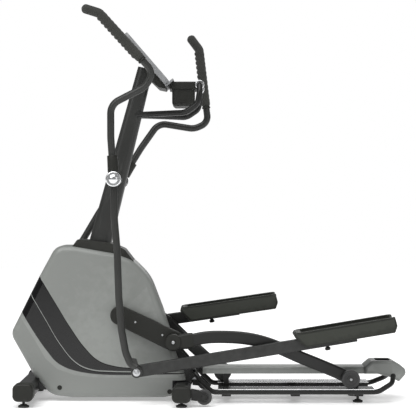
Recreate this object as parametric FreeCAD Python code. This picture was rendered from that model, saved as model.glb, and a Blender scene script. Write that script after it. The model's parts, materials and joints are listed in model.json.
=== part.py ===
import FreeCAD, Part
import math, os
from FreeCAD import Vector as V

# Elliptical trainer, front drive. X runs to the rear, Y to the right side, Z up, millimetres.
# The origin is on the floor, under the middle of the machine.
os.makedirs("parts", exist_ok=True)

X_SHIFT = -3.81           # brings the middle of the length to X = 0
CRANK_R = 260.0           # crank radius
CRANK_C = (-385.0, 381.0) # crankshaft centre
CRANK_A = -25.5           # crank angle of the left side at rest, degrees
WHEEL_R = 40.0            # roller wheel radius
RAIL_Z = 65.0             # running surface height
WHEEL_X = 621.0           # left roller axle at rest
PIV_Q = (311.8, 248.8)    # pedal arm pivot on the left roller arm
PIV_H = (-403.0, 973.0)   # handlebar pivot
PIV_S = (-305.0, 147.5)   # lower end of the left handlebar
Y_CRANK = (103.0, 135.0)  # crank arm plane
Y_ROLL = (152.0, 178.0)   # roller arm plane
Y_PED = (198.0, 226.0)    # pedal arm plane
Y_SW = 246.0              # handlebar plane centre
SHROUD_Y = 95.0           # half width of the shroud
WALL = 3.0                # moulded wall
TUBE_T = 2.0              # tube wall
STAB_Y = 300.0            # half width of the stabilisers
RUN = 0.05                # running clearance on the radius

def rad(a): return math.radians(a)
def cyl(x, z, r, y0, y1):
    return Part.makeCylinder(r, y1 - y0, V(x, y0, z), V(0, 1, 0))
def cylz(x, y, r, z0, z1):
    return Part.makeCylinder(r, z1 - z0, V(x, y, z0), V(0, 0, 1))
def box(x0, x1, y0, y1, z0, z1):
    return Part.makeBox(x1 - x0, y1 - y0, z1 - z0, V(x0, y0, z0))
def fil(s, r, test=None):
    es = [e for e in s.Edges if test is None or test(e)]
    try:
        t = s.makeFillet(r, es)
        if t.isValid() and t.Volume > 0: return t
    except Exception:
        pass
    print("fillet skipped", r, [round(x) for x in (s.BoundBox.XMin, s.BoundBox.XMax, s.BoundBox.YMin, s.BoundBox.YMax, s.BoundBox.ZMin, s.BoundBox.ZMax)]); return s
def along(e, d):
    if e.Curve.TypeId != "Part::GeomLine": return False
    t = e.Curve.Direction
    return abs(abs(t.dot(V(*d))) - 1) < 1e-6
def mir(s): return s.mirror(V(0, 0, 0), V(0, 1, 0))
def edges_path(pts, rs, closed=False):
    """straight runs joined by tangent arcs"""
    pts = [V(*p) for p in pts]
    n = len(pts)
    if not isinstance(rs, (list, tuple)): rs = [rs] * n
    cor = {}
    rng = range(n) if closed else range(1, n - 1)
    for i in rng:
        a, b, c = pts[i - 1], pts[i], pts[(i + 1) % n]
        u = (a - b); u.normalize(); w = (c - b); w.normalize()
        ang = u.getAngle(w)
        if abs(math.pi - ang) < 1e-4 or rs[i] <= 0: cor[i] = None; continue
        t = rs[i] / math.tan(ang / 2)
        lim = 0.49 * min((a - b).Length, (c - b).Length)
        if t > lim: t = lim
        r = t * math.tan(ang / 2)
        bis = (u + w); bis.normalize()
        cen = b + bis * (r / math.sin(ang / 2))
        cor[i] = (b + u * t, cen - bis * r, b + w * t)
    es = []
    last = None
    seq = list(range(n))
    if closed:
        last = cor[0][2] if cor.get(0) else pts[0]
        order = seq[1:] + [0]
    else:
        last = pts[0]; order = seq[1:]
    for i in order:
        c = cor.get(i)
        if c:
            if (c[0] - last).Length > 1e-4: es.append(Part.LineSegment(last, c[0]).toShape())
            es.append(Part.Arc(c[0], c[1], c[2]).toShape()); last = c[2]
        else:
            if (pts[i] - last).Length > 1e-4: es.append(Part.LineSegment(last, pts[i]).toShape())
            last = pts[i]
    return es
def outline(pts, rs):
    return Part.Wire(edges_path([(p[0], 0, p[1]) for p in pts], rs, True))
def prism(pts, rs, y0, y1):
    f = Part.Face(outline(pts, rs)); f.translate(V(0, y0, 0))
    return f.extrude(V(0, y1 - y0, 0))
def tube(pts, rs, r, t=TUBE_T):
    w = Part.Wire(edges_path(pts, rs))
    d = w.Edges[0].tangentAt(w.Edges[0].FirstParameter)
    if (w.Edges[0].valueAt(w.Edges[0].FirstParameter) - V(*pts[0])).Length > 1: d = d * -1
    def sw(rr):
        c = Part.Wire([Part.Circle(V(*pts[0]), d, rr).toShape()])
        return w.makePipeShell([c], True, False, 2)
    s = sw(r)
    if t and t < r: s = s.cut(sw(r - t))
    return s
def rrect(w, h, r):
    """rounded rectangle wire in the XY plane, w along X, h along Y"""
    return Part.Wire(edges_path([(-w/2, -h/2, 0), (w/2, -h/2, 0), (w/2, h/2, 0), (-w/2, h/2, 0)], r, True))
def section(w, h, r, p, ydir, tdir):
    s = rrect(w, h, r)
    t = V(*tdir); t.normalize(); y = V(*ydir); y = y - t * y.dot(t); y.normalize(); z = t.cross(y)
    m = FreeCAD.Matrix(y.x, z.x, t.x, p[0], y.y, z.y, t.y, p[1], y.z, z.z, t.z, p[2], 0, 0, 0, 1)
    s.Placement = FreeCAD.Placement(m)
    return s
def place(s, ang, o, side):
    """local part (x along the link, y outward) put at o = (X, Z) and turned up by ang"""
    s = s.copy()
    if side < 0: s = mir(s)
    s.rotate(V(0, 0, 0), V(0, 1, 0), -ang)
    s.translate(V(o[0], 0, o[1]))
    return s
def one(s):
    if len(s.Solids) == 1: return s.Solids[0]
    return s
def fuse(*ss):
    a = ss[0]
    for b in ss[1:]: a = a.fuse(b)
    return one(a.removeSplitter())

# ---------------------------------------------------------------- linkage
a0 = rad(CRANK_A)
P_L = (CRANK_C[0] + CRANK_R * math.cos(a0), CRANK_C[1] + CRANK_R * math.sin(a0))
P_R = (2 * CRANK_C[0] - P_L[0], 2 * CRANK_C[1] - P_L[1])
W_L = (WHEEL_X, RAIL_Z + WHEEL_R)
LEN = math.dist(P_L, W_L)
W_R = (P_R[0] + math.sqrt(LEN ** 2 - (P_R[1] - W_L[1]) ** 2), W_L[1])
B_L = math.degrees(math.atan2(W_L[1] - P_L[1], W_L[0] - P_L[0]))
B_R = math.degrees(math.atan2(W_R[1] - P_R[1], W_R[0] - P_R[0]))
def loc(p, o, b):
    b = rad(b); dx, dz = p[0] - o[0], p[1] - o[1]
    return (dx * math.cos(b) + dz * math.sin(b), -dx * math.sin(b) + dz * math.cos(b))
def glo(p, o, b):
    b = rad(b)
    return (o[0] + p[0] * math.cos(b) - p[1] * math.sin(b), o[1] + p[0] * math.sin(b) + p[1] * math.cos(b))
q = loc(PIV_Q, P_L, B_L)
Q_L = PIV_Q; Q_R = glo(q, P_R, B_R)
LS = math.dist(PIV_S, Q_L); LH = math.dist(PIV_S, PIV_H)
d = math.dist(Q_R, PIV_H); a = (LH ** 2 - LS ** 2 + d ** 2) / (2 * d); h = math.sqrt(LH ** 2 - a ** 2)
ux, uz = (Q_R[0] - PIV_H[0]) / d, (Q_R[1] - PIV_H[1]) / d
S_R = min([(PIV_H[0] + a * ux - s * h * uz, PIV_H[1] + a * uz + s * h * ux) for s in (1, -1)])
S_L = PIV_S
G_L = math.degrees(math.atan2(Q_L[1] - S_L[1], Q_L[0] - S_L[0]))
G_R = math.degrees(math.atan2(Q_R[1] - S_R[1], Q_R[0] - S_R[0]))
D_L = math.degrees(math.atan2(S_L[0] - PIV_H[0], PIV_H[1] - S_L[1]))
D_R = math.degrees(math.atan2(S_R[0] - PIV_H[0], PIV_H[1] - S_R[1]))
for n in ("P_L", "P_R", "W_L", "W_R", "B_L", "B_R", "Q_L", "Q_R", "S_L", "S_R", "G_L", "G_R", "D_L", "D_R"):
    print(n, globals()[n])

out = {}

# ---------------------------------------------------------------- roller arm (local: origin crank pin, x to the roller)
ym = sum(Y_ROLL) / 2
Y_END = 104.0
cl = [(62, 18), (110, 39), (160, 56), (210, 67), (298, 80), (385, 80), (456, 70), (560, 46.5), (700, 18.5), (LEN, 0)]
def yc(x):
    if x <= 470: return ym
    if x >= 700: return Y_END
    t = (x - 470) / 230.0; t = t * t * (3 - 2 * t)
    return ym + (Y_END - ym) * t
def arm(hgt, wid, r):
    ws = []
    pts = []
    full = cl[:7] + [(500, 60.5), (540, 51), (580, 42.5), (620, 34.5), (660, 26.3), (700, 18.5), (745, 9.2), (LEN - 2, 0.3)]
    for i, (x, z) in enumerate(full):
        a, b = full[max(i - 1, 0)], full[min(i + 1, len(full) - 1)]
        t = (b[0] - a[0], (yc(b[0]) - yc(a[0])) * 1.0, b[1] - a[1])
        ws.append(section(wid, hgt, r, (x, yc(x), z), (0, 1, 0), t))
    return Part.makeLoft(ws, True, False)
ra = arm(54.0, 26.0, 9.0).cut(arm(49.0, 21.0, 6.5))
boss = cyl(0, 0, 34, 140, 188)
sleeve = Part.makeLoft([section(34, 50, 10, (8, ym, 1), (0, 1, 0), (1, 0, 0.3)), section(34, 66, 10, (46, ym, 12), (0, 1, 0), (1, 0, 0.35)),
                        section(32, 62, 10, (84, ym, 27), (0, 1, 0), (1, 0, 0.4))], True, False)
core = arm(54.0, 26.0, 9.0)
boss_all = fuse(fil(boss, 3), sleeve).cut(core)
boss_all = one(boss_all)
if len(boss_all.Solids) > 1: boss_all = max(boss_all.Solids, key=lambda s: s.Volume)
disc = cyl(LEN, 0, 34, Y_END - 13, Y_END + 13)
qhub = cyl(q[0], q[1], 22, Y_ROLL[0], Y_ROLL[1])
ra = fuse(ra, disc, qhub)
ra = ra.cut(cyl(q[0], q[1], 10 + RUN, 140, 190)).cut(cyl(LEN, 0, 8 + RUN, 80, 130))
ra = one(ra)
roller_boss = fuse(boss_all, cyl(0, 0, 12, 136, 140.5), cyl(0, 0, 9, 187, 193))

def roller(side, P, B, n):
    out[n + "_roller_arm"] = place(ra, B, P, side)
    out[n + "_crank_pin_housing"] = place(roller_boss, B, P, side)
roller(-1, P_L, B_L, "left"); roller(1, P_R, B_R, "right")

# roller wheel with crowned tread, and its axle bolt
def wheel(r, y0, y1, rb):
    w = fil(cyl(0, 0, r, y0, y1), 4)
    w = w.cut(cyl(0, 0, r * 0.72, y1 - 4, y1 + 1)).cut(cyl(0, 0, rb + RUN, y0 - 1, y1 + 1))
    return w
for side, W, n in ((-1, W_L, "left"), (1, W_R, "right")):
    w = wheel(WHEEL_R - 0.3, Y_END + 16, Y_END + 52, 8)
    out[n + "_roller_wheel"] = place(w, 0, W, side)
    bolt = fuse(cyl(0, 0, 8, Y_END - 13, Y_END + 48), cyl(0, 0, 13, Y_END + 48.4, Y_END + 54), cyl(0, 0, 14, Y_END - 20, Y_END - 13.4),
                cyl(0, 0, 8, Y_END - 14, Y_END + 50))
    out[n + "_roller_axle"] = place(bolt, 0, W, side)

# ---------------------------------------------------------------- pedal arm and pedal (local: origin lower handlebar pivot)
yp = sum(Y_PED) / 2
pa = box(0, LS + 330, Y_PED[0], Y_PED[1], -26, 26)
pa = fil(pa, 5, lambda e: along(e, (1, 0, 0)))
pin_ = box(14, LS + 331, Y_PED[0] + 2, Y_PED[1] - 2, -24, 24)
pa = pa.cut(pin_)
pa = fuse(pa, cyl(0, 0, 26, Y_PED[0], Y_PED[1]), cyl(LS, 0, 20, Y_ROLL[1] + 0.6, Y_PED[1] - 2))
pa = fuse(pa, cyl(LS, 0, 10, Y_ROLL[0] - 4, Y_ROLL[1] + 2), box(LS + 322, LS + 330, Y_PED[0] + 1, Y_PED[1] - 1, -25, 25))
pa = pa.cut(cyl(0, 0, 8.2, Y_PED[0] - 1, Y_PED[1] + 1))
P0, P1 = 72.0, 508.0      # pedal ends, from the pivot
PY0, PY1 = 78.0, 252.0    # pedal sides
PZ0, PZ1 = -14.0, 52.0
def pedal_solid(off, top, bot):
    pts = [(P0 + off, PZ1 + top), (P0 - 8 + off, 40), (P0 + 34 + off, PZ0 + bot), (P1 - 14 - off, PZ0 + bot), (P1 - off, 14), (P1 - 4 - off, PZ1 + top)]
    s = prism([(LS + a, b) for a, b in pts], [6, 10, 14, 12, 12, 8], PY0 + off, PY1 - off)
    return s
ped = pedal_solid(0, 0, 0)
def vert_like(e):
    b = e.BoundBox
    return b.YLength < 0.01 and (abs(b.YMin - PY0) < 0.1 or abs(b.YMin - PY1) < 0.1)
ped = fil(ped, 9, vert_like)
tray = prism([(LS + P0 + 20, 80), (LS + P0 + 30, 34), (LS + P1 - 26, 34), (LS + P1 - 16, 80)], [0, 10, 10, 0], PY0 + 12, PY1 - 12)
tray = fil(tray, 8, lambda e: abs(e.BoundBox.YLength) < 0.01)
under = prism([(LS + P0 + 46, -40), (LS + P0 + 24, 28), (LS + P1 - 14, 28), (LS + P1 - 22, -40)], [0, 8, 8, 0], PY0 + 4, PY1 - 4)
ped = ped.cut(tray).cut(under)
# heel end stands lower so that the foot can step on
ped = ped.cut(box(LS + P1 - 60, LS + P1 + 5, PY0 + 22, PY1 - 22, 40, 90))
ped = ped.cut(box(LS - 5, LS + P0 + 60, Y_PED[0] - 0.01, Y_PED[1] + 0.01, -30, 26.01))
ped = ped.cut(box(LS, LS + 330, Y_PED[0], Y_PED[1], -26, 26))
pad_ribs = [box(LS + P0 + 52 + i * 17, LS + P0 + 60 + i * 17, PY0 + 26, PY1 - 26, 35, 38.5) for i in range(20)]
pad = prism([(LS + P0 + 34, 34), (LS + P1 - 30, 34), (LS + P1 - 30, 36.5), (LS + P0 + 34, 36.5)], 0, PY0 + 16, PY1 - 16)
pad = fil(pad, 12, lambda e: along(e, (0, 0, 1)))
padr = pad
for b_ in pad_ribs: padr = padr.fuse(b_)
padr = one(padr.removeSplitter())
post = [box(LS + 150, LS + 190, Y_PED[0] + 3, Y_PED[1] - 3, -34, -26)]
for side, S, G, n in ((-1, S_L, G_L, "left"), (1, S_R, G_R, "right")):
    out[n + "_pedal_arm"] = place(pa, G, S, side)
    out[n + "_pedal"] = place(one(ped), G, S, side)
    out[n + "_pedal_mat"] = place(padr, G, S, side)

# ---------------------------------------------------------------- swinging handlebar (drawn in the left rest position)
hb = [(-304, -Y_SW - 2, 168), (-331, -Y_SW, 182), (-352, -Y_SW, 232), (-370, -Y_SW, 330), (-381, -Y_SW, 465), (-387.5, -Y_SW, 655), (-400, -Y_SW, 800), (-403, -Y_SW, 973),
      (-415.5, -Y_SW, 1150), (-416, -Y_SW, 1292), (-268, -Y_SW - 16, 1366), (-232, -Y_SW - 22, 1428), (-300, -Y_SW - 24, 1501), (-462, -Y_SW - 24, 1679), (-528, -Y_SW - 22, 1700)]
hr = [0, 30, 90, 300, 400, 400, 400, 300, 300, 62, 78, 70, 40, 34, 0]
hb_t = tube(hb, hr, 15.5, 0)
hb_i = tube(hb, hr, 13.5, 0)
hub = fil(cyl(PIV_H[0], PIV_H[1], 29, -Y_SW - 20, -Y_SW + 22), 2)
low = fuse(cyl(S_L[0], S_L[1], 24, -Y_SW - 8, -Y_SW + 19), prism([(-318, 132), (-286, 136), (-306, 205), (-352, 214)], [8, 8, 6, 8], -Y_SW - 8, -Y_SW + 10))
sw = hb_t.fuse(hub).fuse(low).cut(hb_i)
sw = sw.cut(cyl(PIV_H[0], PIV_H[1], 14 + RUN, -Y_SW - 21, -Y_SW + 23))
sw = sw.fuse(cyl(S_L[0], S_L[1], 9, -Y_SW - 14, -Y_SW - 8))
sw = one(sw.removeSplitter())
if len(sw.Solids) > 1: sw = max(sw.Solids, key=lambda s: s.Volume)
# foam grip: a sleeve with finger ridges round the last straight and the bent tip
gp = [(-292, -Y_SW - 24, 1492.5), (-300, -Y_SW - 24, 1501), (-462, -Y_SW - 24, 1679), (-536, -Y_SW - 22, 1702.5)]
grip = tube(gp, [0, 40, 34, 0], 20.5, 0)
ru = V(-162, 0, 178); ru.normalize(); rn = V(-178, 0, -162); rn.normalize()
for i in range(9):
    c = V(-318, -Y_SW - 24, 1520.5) + ru * (i * 22.0) + rn * 13.5
    b_ = Part.makeSphere(11.5, c)
    grip = grip.fuse(b_)
core_t = tube(hb, hr, 15.5, 0)
grip = grip.removeSplitter().cut(core_t)
grip = max(grip.Solids, key=lambda s: s.Volume)
capH = fil(cyl(PIV_H[0], PIV_H[1], 33, -Y_SW - 32, -Y_SW - 20), 5, lambda e: abs(e.BoundBox.YMin + Y_SW + 32) < 0.2)
for side, n, dd in ((-1, "left", 0), (1, "right", D_L - D_R)):
    for nm, s in (("handlebar", sw), ("grip", grip), ("pivot_cap", capH)):
        t = s.copy() if side < 0 else mir(s)
        # turning clockwise (as the left side sees it) brings the lower end forward
        if dd: t.rotate(V(PIV_H[0], 0, PIV_H[1]), V(0, 1, 0), dd)
        out[n + "_" + nm] = t

# ---------------------------------------------------------------- crank set
cx, cz = CRANK_C
def crank_arm():
    s = prism([(-30, -26), (-30, 26), (CRANK_R + 26, 24), (CRANK_R + 26, -24)], [25, 25, 23, 23], Y_CRANK[0] + 6, Y_CRANK[1] - 10)
    return s.cut(cyl(0, 0, 15, 0, 300))
def crank_cover():
    o = prism([(-41, -41), (-41, 41), (CRANK_R + 45, 45), (CRANK_R + 45, -45)], [40.5, 40.5, 44.5, 44.5], Y_CRANK[0], Y_CRANK[1])
    o = fil(o, 6, lambda e: e.BoundBox.YLength < 0.01 and abs(e.BoundBox.YMin - Y_CRANK[1]) < 0.1)
    i = prism([(-37, -37), (-37, 37), (CRANK_R + 41, 41), (CRANK_R + 41, -41)], [36.5, 36.5, 40.5, 40.5], Y_CRANK[0] - 1, Y_CRANK[1] - 4)
    s = o.cut(i)
    for x in (74, 205):
        s = s.fuse(cyl(x, 4, 5, Y_CRANK[1] - 9.9, Y_CRANK[1] + 1.0))
    s = s.fuse(cyl(0, 0, 22, Y_CRANK[1] - 9.9, Y_CRANK[1] - 3))
    return one(s.removeSplitter())
ca, cc = crank_arm(), crank_cover()
cc = cc.cut(ca)
out["left_crank_arm"] = place(ca, CRANK_A, CRANK_C, -1)
out["right_crank_arm"] = place(ca, CRANK_A + 180, CRANK_C, 1)
out["crank_covers"] = Part.makeCompound([place(one(cc), CRANK_A, CRANK_C, -1), place(one(cc), CRANK_A + 180, CRANK_C, 1)])
out["crankshaft"] = fuse(cyl(cx, cz, 15, -125, 125), cyl(cx, cz, 24, 34, 40))
pul = cyl(cx, cz, 150, 40, 56).cut(cyl(cx, cz, 15, 30, 60))
pul = pul.cut(cyl(cx, cz, 136, 50, 57).cut(cyl(cx, cz, 34, 50, 57)))
for i in range(6):
    aa = rad(i * 60)
    pul = pul.cut(cyl(cx + 85 * math.cos(aa), cz + 85 * math.sin(aa), 26, 30, 60))
out["drive_pulley"] = pul
FX, FZ, FR = -640.0, 330.0, 112.0
fw = cyl(FX, FZ, FR, -26, 14).cut(cyl(FX, FZ, FR - 22, -27, -12)).cut(cyl(FX, FZ, FR - 22, 0, 15))
fw = fuse(fw, cyl(FX, FZ, 25, -30, 60), cyl(FX, FZ, 30, 56.5, 59)).cut(cyl(FX, FZ, 8 + RUN, -40, 70))
out["flywheel"] = one(fw)
out["flywheel_axle"] = fuse(cyl(FX, FZ, 8, -64, 64), cyl(FX, FZ, 14, -64, -58), cyl(FX, FZ, 14, 61, 64))
# flat belt round the pulley and the flywheel's small pulley
dx_, dz_ = cx - FX, cz - FZ; dist = math.hypot(dx_, dz_); th = math.atan2(dz_, dx_)
def belt(rb, rs, y0, y1):
    al = math.acos((rb - rs) / dist)
    p = []
    def pt(c, r, an): return V(c[0] + r * math.cos(an), 0, c[1] + r * math.sin(an))
    b1, b2 = th + math.pi - al, th + math.pi + al
    A1, A2 = pt((cx, cz), rb, b1), pt((cx, cz), rb, b2); Am = pt((cx, cz), rb, th)
    B1, B2 = pt((FX, FZ), rs, b1), pt((FX, FZ), rs, b2); Bm = pt((FX, FZ), rs, th + math.pi)
    w = Part.Wire([Part.Arc(A1, Am, A2).toShape(), Part.LineSegment(A2, B2).toShape(), Part.Arc(B2, Bm, B1).toShape(), Part.LineSegment(B1, A1).toShape()])
    f = Part.Face(w); f.translate(V(0, y0, 0)); return f.extrude(V(0, y1 - y0, 0))
out["drive_belt"] = belt(152.3, 27.3, 41, 55).cut(belt(150.3, 25.3, 40, 56))

# ---------------------------------------------------------------- main frame
def plate(y0, y1):
    s = prism([(-760, 88), (-80, 88), (-80, 180), (-300, 420), (-410, 640), (-420, 690), (-545, 690), (-560, 560), (-700, 380), (-760, 200)], [0, 0, 30, 60, 40, 0, 0, 60, 60, 40], y0, y1)
    s = s.cut(prism([(-470, 470), (-400, 470), (-455, 600), (-500, 600)], 12, y0 - 1, y1 + 1))
    s = s.cut(prism([(-560, 130), (-170, 130), (-250, 240), (-560, 240)], 30, y0 - 1, y1 + 1))
    s = s.cut(cyl(cx, cz, 40, y0 - 1, y1 + 1))
    return s
base = box(-790, -80, -70, 70, 50, 88).cut(box(-791, -79, -67, 67, 53, 85))
pl1, pl2 = plate(-70, -64), plate(64, 70)
cap = box(-545, -420, -64, 64, 684, 690)
web = [box(-765, -759, -64, 64, 88, 200).cut(box(-790, -700, -30, 30, 110, 180))]
frame = fuse(base, pl1, pl2, cap)
frame = frame.cut(cyl(FX, FZ, 8, -80, 80))
out["crank_bearings"] = Part.makeCompound([cyl(cx, cz, 40, y0, y0 + 12).cut(cyl(cx, cz, 15 + RUN, y0 - 1, y0 + 13)) for y0 in (-73, 61)])
# rear hinge lugs of the main frame
HX, HZ = -62.0, 140.0
lug = prism([(-82, 86), (-82, 178), (-42, 162), (-42, 120)], [0, 6, 16, 16], 58, 66).cut(cyl(HX, HZ, 8, 40, 80))
frame = fuse(frame, lug, mir(lug))
print("frame", frame.isValid(), len(frame.Solids), frame.Volume)
out["main_frame"] = frame
def stab(x0, x1, z0, z1):
    s = box(x0, x1, -STAB_Y + 30, STAB_Y - 30, z0, z1)
    s = fil(s, 22, lambda e: along(e, (0, 1, 0)))
    i = box(x0 + 3, x1 - 3, -STAB_Y + 29, STAB_Y - 29, z0 + 3, z1 - 3)
    i = fil(i, 19, lambda e: along(e, (0, 1, 0)))
    return s.cut(i)
FS = (-826.0, -746.0, 32.0, 98.0)
MS = (-150.0, -76.0, 26.0, 86.0)
out["front_stabilizer"] = stab(*FS)
out["middle_stabilizer"] = stab(*MS)
caps = []
for (x0, x1, z0, z1) in (FS, MS):
    c = box(x0 - 4, x1 + 4, STAB_Y - 62, STAB_Y, z0 - 5, z1 + 5)
    c = fil(c, 24, lambda e: along(e, (0, 1, 0)))
    c = fil(c, 9, lambda e: e.BoundBox.YLength < 0.01 and abs(e.BoundBox.YMin - STAB_Y) < 0.1)
    core_ = fil(box(x0, x1, -STAB_Y, STAB_Y - 30, z0, z1), 22, lambda e: along(e, (0, 1, 0)))
    c = one(c.cut(core_))
    caps += [c, mir(c)]
out["stabilizer_caps"] = Part.makeCompound(caps)
feet = []
def foot(x, y, ztop, r=24.0):
    return fuse(fil(cylz(x, y, r, 0, 9), 3), cylz(x, y, r * 0.62, 8, 13), cylz(x, y, 6, 12, ztop))
for s_ in (-1, 1):
    feet.append(foot((FS[0] + FS[1]) / 2, s_ * 262, FS[2] - 5)); feet.append(foot((MS[0] + MS[1]) / 2, s_ * 262, MS[2] - 5)); feet.append(foot(655, s_ * 105, 31.0, 22.0))
out["levelling_feet"] = Part.makeCompound(feet)

# ---------------------------------------------------------------- mast
def oval(x, z, w, d_, tz=(0.26, 0, 1)):
    return section(d_, w, min(w, d_) * 0.34, (x, 0, z), (0, 1, 0), tz)
MB, MT = (-480.0, 690.0), (-278.0, 1468.0)
def mast(o):
    t = (MT[0] - MB[0], 0, MT[1] - MB[1])
    return Part.makeLoft([oval(MB[0], MB[1], 98 - o, 88 - o, t), oval(MT[0], MT[1], 66 - o, 82 - o, t)], True, True)
ms = mast(0).cut(mast(6))
mtop = mast(0).common(box(-400, -100, -60, 60, 1440, 1500))
ms = fuse(ms, mtop)
axle = cyl(PIV_H[0], PIV_H[1], 14, -Y_SW - 19, Y_SW + 19)
boss_t = [cyl(PIV_H[0], PIV_H[1], 24, 36, Y_SW - 23), cyl(PIV_H[0], PIV_H[1], 24, -Y_SW + 23, -36)]
hx = fuse(axle, *boss_t)
ms = one(ms.cut(cyl(PIV_H[0], PIV_H[1], 24, -80, -36)).cut(cyl(PIV_H[0], PIV_H[1], 24, 36, 80)).cut(cyl(PIV_H[0], PIV_H[1], 14, -80, 80)))
out["mast"] = ms
out["handlebar_axle"] = hx

# ---------------------------------------------------------------- shroud
SH = [(-596, 684), (-668, 684), (-742, 548), (-824, 383), (-868, 296), (-768, 118), (-690, 27), (-600, 16), (-196, 16), (-150, 24), (-97, 78), (-100, 118), (-136, 201), (-200, 402), (-256, 548), (-330, 622), (-411, 652)]
SR = [60, 110, 400, 300, 52, 120, 80, 60, 60, 40, 30, 60, 200, 300, 200, 120, 80]
def shr(off):
    w = outline(SH, SR)
    f = Part.Face(w)
    if off: f = Part.Face(f.OuterWire.makeOffset2D(-off)) if True else f
    f.translate(V(0, -SHROUD_Y + off, 0))
    s = f.extrude(V(0, 2 * (SHROUD_Y - off), 0))
    yy = SHROUD_Y - off
    r = 30.0 - off
    return fil(s, r, lambda e: e.BoundBox.YLength < 0.01 and abs(abs(e.BoundBox.YMin) - yy) < 0.1)
sh0, sh1, sh3 = shr(0), shr(2.0), shr(WALL)
def band(pu, pl_, y0, y1):
    return prism(pu + pl_[::-1], 0, y0, y1)
uA = [(-760, 556), (-733, 522), (-648, 389), (-583, 285), (-512, 207), (-434, 158), (-363, 145), (-300, 141), (-230, 141)]
lA = [(-800, 470), (-775, 450), (-712, 343), (-648, 240), (-583, 169), (-512, 130), (-363, 126), (-300, 126), (-230, 126)]
uB = [(-815, 440), (-782, 434), (-720, 330), (-656, 226), (-590, 158), (-515, 121), (-363, 117), (-240, 117), (-60, 117)]
lB = [(-860, 395), (-820, 368), (-757, 266), (-712, 189), (-660, 143), (-583, 117), (-500, 107), (-363, 105), (-60, 105)]
skin = sh0.cut(sh1)
ins = {}
for n, y0, y1 in (("left", -120, 0), ("right", 0, 120)):
    bn = band(uA, lA, y0, y1).fuse(band(uB, lB, y0, y1))
    ins[n] = Part.makeCompound([s for s in skin.common(bn).Solids if s.Volume > 200])
clr = [box(-900, 0, -70.5, 70.5, 49.5, 88.5), box(-770, -76, -70.5, 70.5, 40, 100), cyl(cx, cz, 27, -120, 120),
       box(FS[0] - 6, FS[1] + 6, -310, 310, FS[2] - 8, FS[3] + 6), box(MS[0] - 6, MS[1] + 12, -310, 310, 0, MS[3] + 7),
       box(-100, 0, -72, 72, 60, 190)]
shell = sh0.cut(sh3)
top_open = prism([(-560, 600), (-410, 600), (-405, 760), (-560, 760)], 10, -60, 60)
for c in clr + [top_open]: shell = shell.cut(c)
inl = []
for n, y0, y1 in (("left", -120, 0), ("right", 0, 120)):
    half = shell.common(box(-1000, 100, y0, y1, -50, 800)).cut(ins[n])
    s = max(half.Solids, key=lambda t: t.Volume)
    out[n + "_shroud"] = s
    i_ = ins[n]
    for c in clr: i_ = i_.cut(c)
    inl = inl + [t for t in i_.Solids if t.Volume > 200]
out["shroud_inlays"] = Part.makeCompound(inl)
tc = prism([(-600, 676), (-574, 712), (-432, 696), (-368, 668), (-318, 604), (-411, 640)], [4, 14, 30, 30, 4, 60], -78, 78)
tc = fil(tc, 10, lambda e: e.BoundBox.YLength < 0.01 and abs(abs(e.BoundBox.YMin) - 78) < 0.1)
tc = tc.cut(sh0).cut(Part.makeLoft([oval(-486, 660, 98, 86), oval(-463, 752, 97, 86)], True, False))
out["shroud_top_cover"] = max(tc.Solids, key=lambda t: t.Volume)
# ---------------------------------------------------------------- console
def con(x0, x1, y, z0, z1, r=10):
    """block in console axes: u up the face, v out of the face"""
    s = box(x0, x1, -y, y, z0, z1)
    return fil(s, r, lambda e: along(e, (0, 0, 1)))
CO = (-271.0, 1502.0)
house = con(-141, 141, 150, -12, 12, 26)
house = fil(house, 4, lambda e: abs(abs(e.BoundBox.ZMin) - 12) < 0.01 and e.BoundBox.ZLength < 0.01)
scr = con(-112, 66, 118, 10, 12.6, 6)
keys = [con(-8, 8, 14, 6, 14.5, 5) for _ in range(2)]
kpos = [(100, -34), (100, 34)]
house = house.cut(scr)
ks = []
for k, (kx_, ky) in zip(keys, kpos):
    k = k.copy(); k.translate(V(kx_, ky, 0)); ks.append(k)
    hole = con(-8.3, 8.3, 14.3, 4, 20, 5.3); hole.translate(V(kx_, ky, 0)); house = house.cut(hole)
back = prism([(20, -12), (150, -12), (154, -20), (128, -40), (60, -46), (20, -30)], [4, 2, 4, 12, 20, 8], -95, 95)
ledge = fil(box(141, 150, -120, 120, -14, 32), 3)
# console axes: local +x points down the face, local +z out of the face (towards the user)
c_ang = math.degrees(math.atan2(1395.7 - 1608.8, -178.8 + 362.8))
def cput(s):
    s = s.copy(); s.rotate(V(0, 0, 0), V(0, 1, 0), -c_ang); s.translate(V(CO[0], 0, CO[1])); return s
print("console", c_ang, "normal", -math.sin(rad(c_ang)), math.cos(rad(c_ang)))
mast_solid = mast(0)
out["console_housing"] = cput(fuse(house, ledge))
out["console_screen"] = cput(scr)
out["start_button"] = cput(ks[0]); out["stop_button"] = cput(ks[1])
bk = cput(back).cut(mast_solid)
out["console_back_cover"] = max(bk.Solids, key=lambda t: t.Volume)
neck = cput(box(-30, 60, -28, 28, -40, -12)).cut(mast_solid).cut(cput(back))
out["mast"] = one(out["mast"].cut(out["console_housing"]))

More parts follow.
